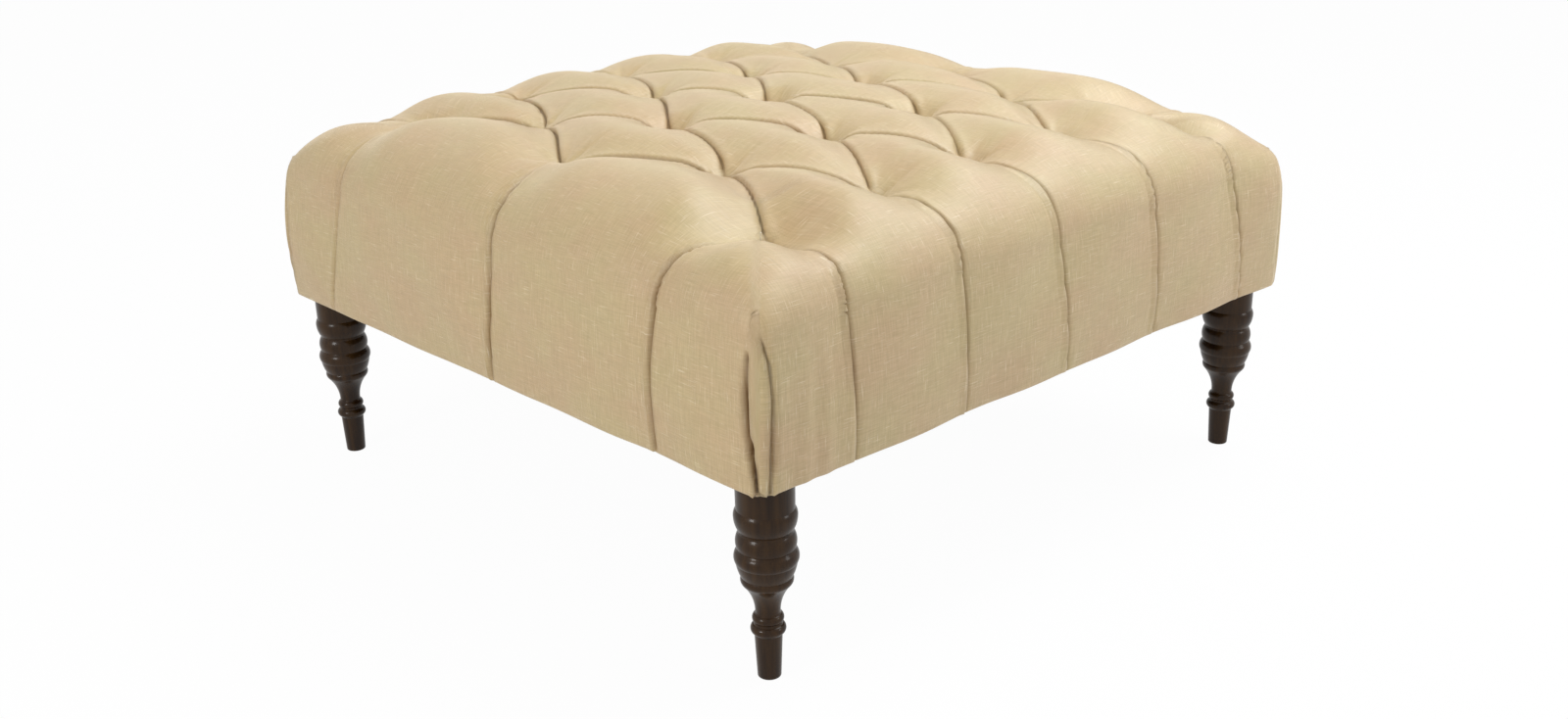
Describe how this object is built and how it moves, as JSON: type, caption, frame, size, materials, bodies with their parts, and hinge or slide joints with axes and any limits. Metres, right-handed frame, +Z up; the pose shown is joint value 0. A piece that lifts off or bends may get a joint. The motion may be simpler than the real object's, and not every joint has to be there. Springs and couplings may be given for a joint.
{
  "type": "ottoman coffee table",
  "caption": "Square upholstered ottoman coffee table with a diamond tufted top, pleated sides and turned wooden legs.",
  "frame": {"origin": "on the floor, under the middle of the seat", "axes": "+Z up, front faces -Y, +X to the right seen from the front"},
  "size_m": [0.838, 0.838, 0.4564],
  "materials": {
    "linen_cover": "plain woven linen with slubs, soft sheen",
    "stained_wood": "dark brown stain under satin lacquer",
    "frame_wood": "bare sawn softwood",
    "plywood": "bare plywood",
    "foam": "open cell foam",
    "batting": "polyester fibre",
    "dust_cloth": "thin black non-woven cloth",
    "twine": "waxed twine",
    "zinc_steel": "zinc plated",
    "brass_insert": "turned"
  },
  "bodies": {
    "root": {"fabric_cover": "linen_cover", "batting_wrap": "batting", "foam_block": "foam", "deck_board": "plywood", "deck_brace_left": "frame_wood", "deck_brace_right": "frame_wood", "rail_front": "frame_wood", "rail_back": "frame_wood", "rail_left": "frame_wood", "rail_right": "frame_wood", "corner_block_front_left": "frame_wood", "corner_block_front_right": "frame_wood", "corner_block_back_left": "frame_wood", "corner_block_back_right": "frame_wood", "leg_front_left": "stained_wood", "leg_front_right": "stained_wood", "leg_back_left": "stained_wood", "leg_back_right": "stained_wood", "leg_bolts": "zinc_steel", "leg_inserts": "brass_insert", "dust_cover": "dust_cloth", "tufting_twines": "twine", "twine_washers": "zinc_steel", "rail_screws": "zinc_steel", "brace_screws": "zinc_steel", "corner_block_screws": "zinc_steel", "deck_screws": "zinc_steel", "cover_staples": "zinc_steel", "dust_cover_staples": "zinc_steel"}
  },
  "joints": []
}
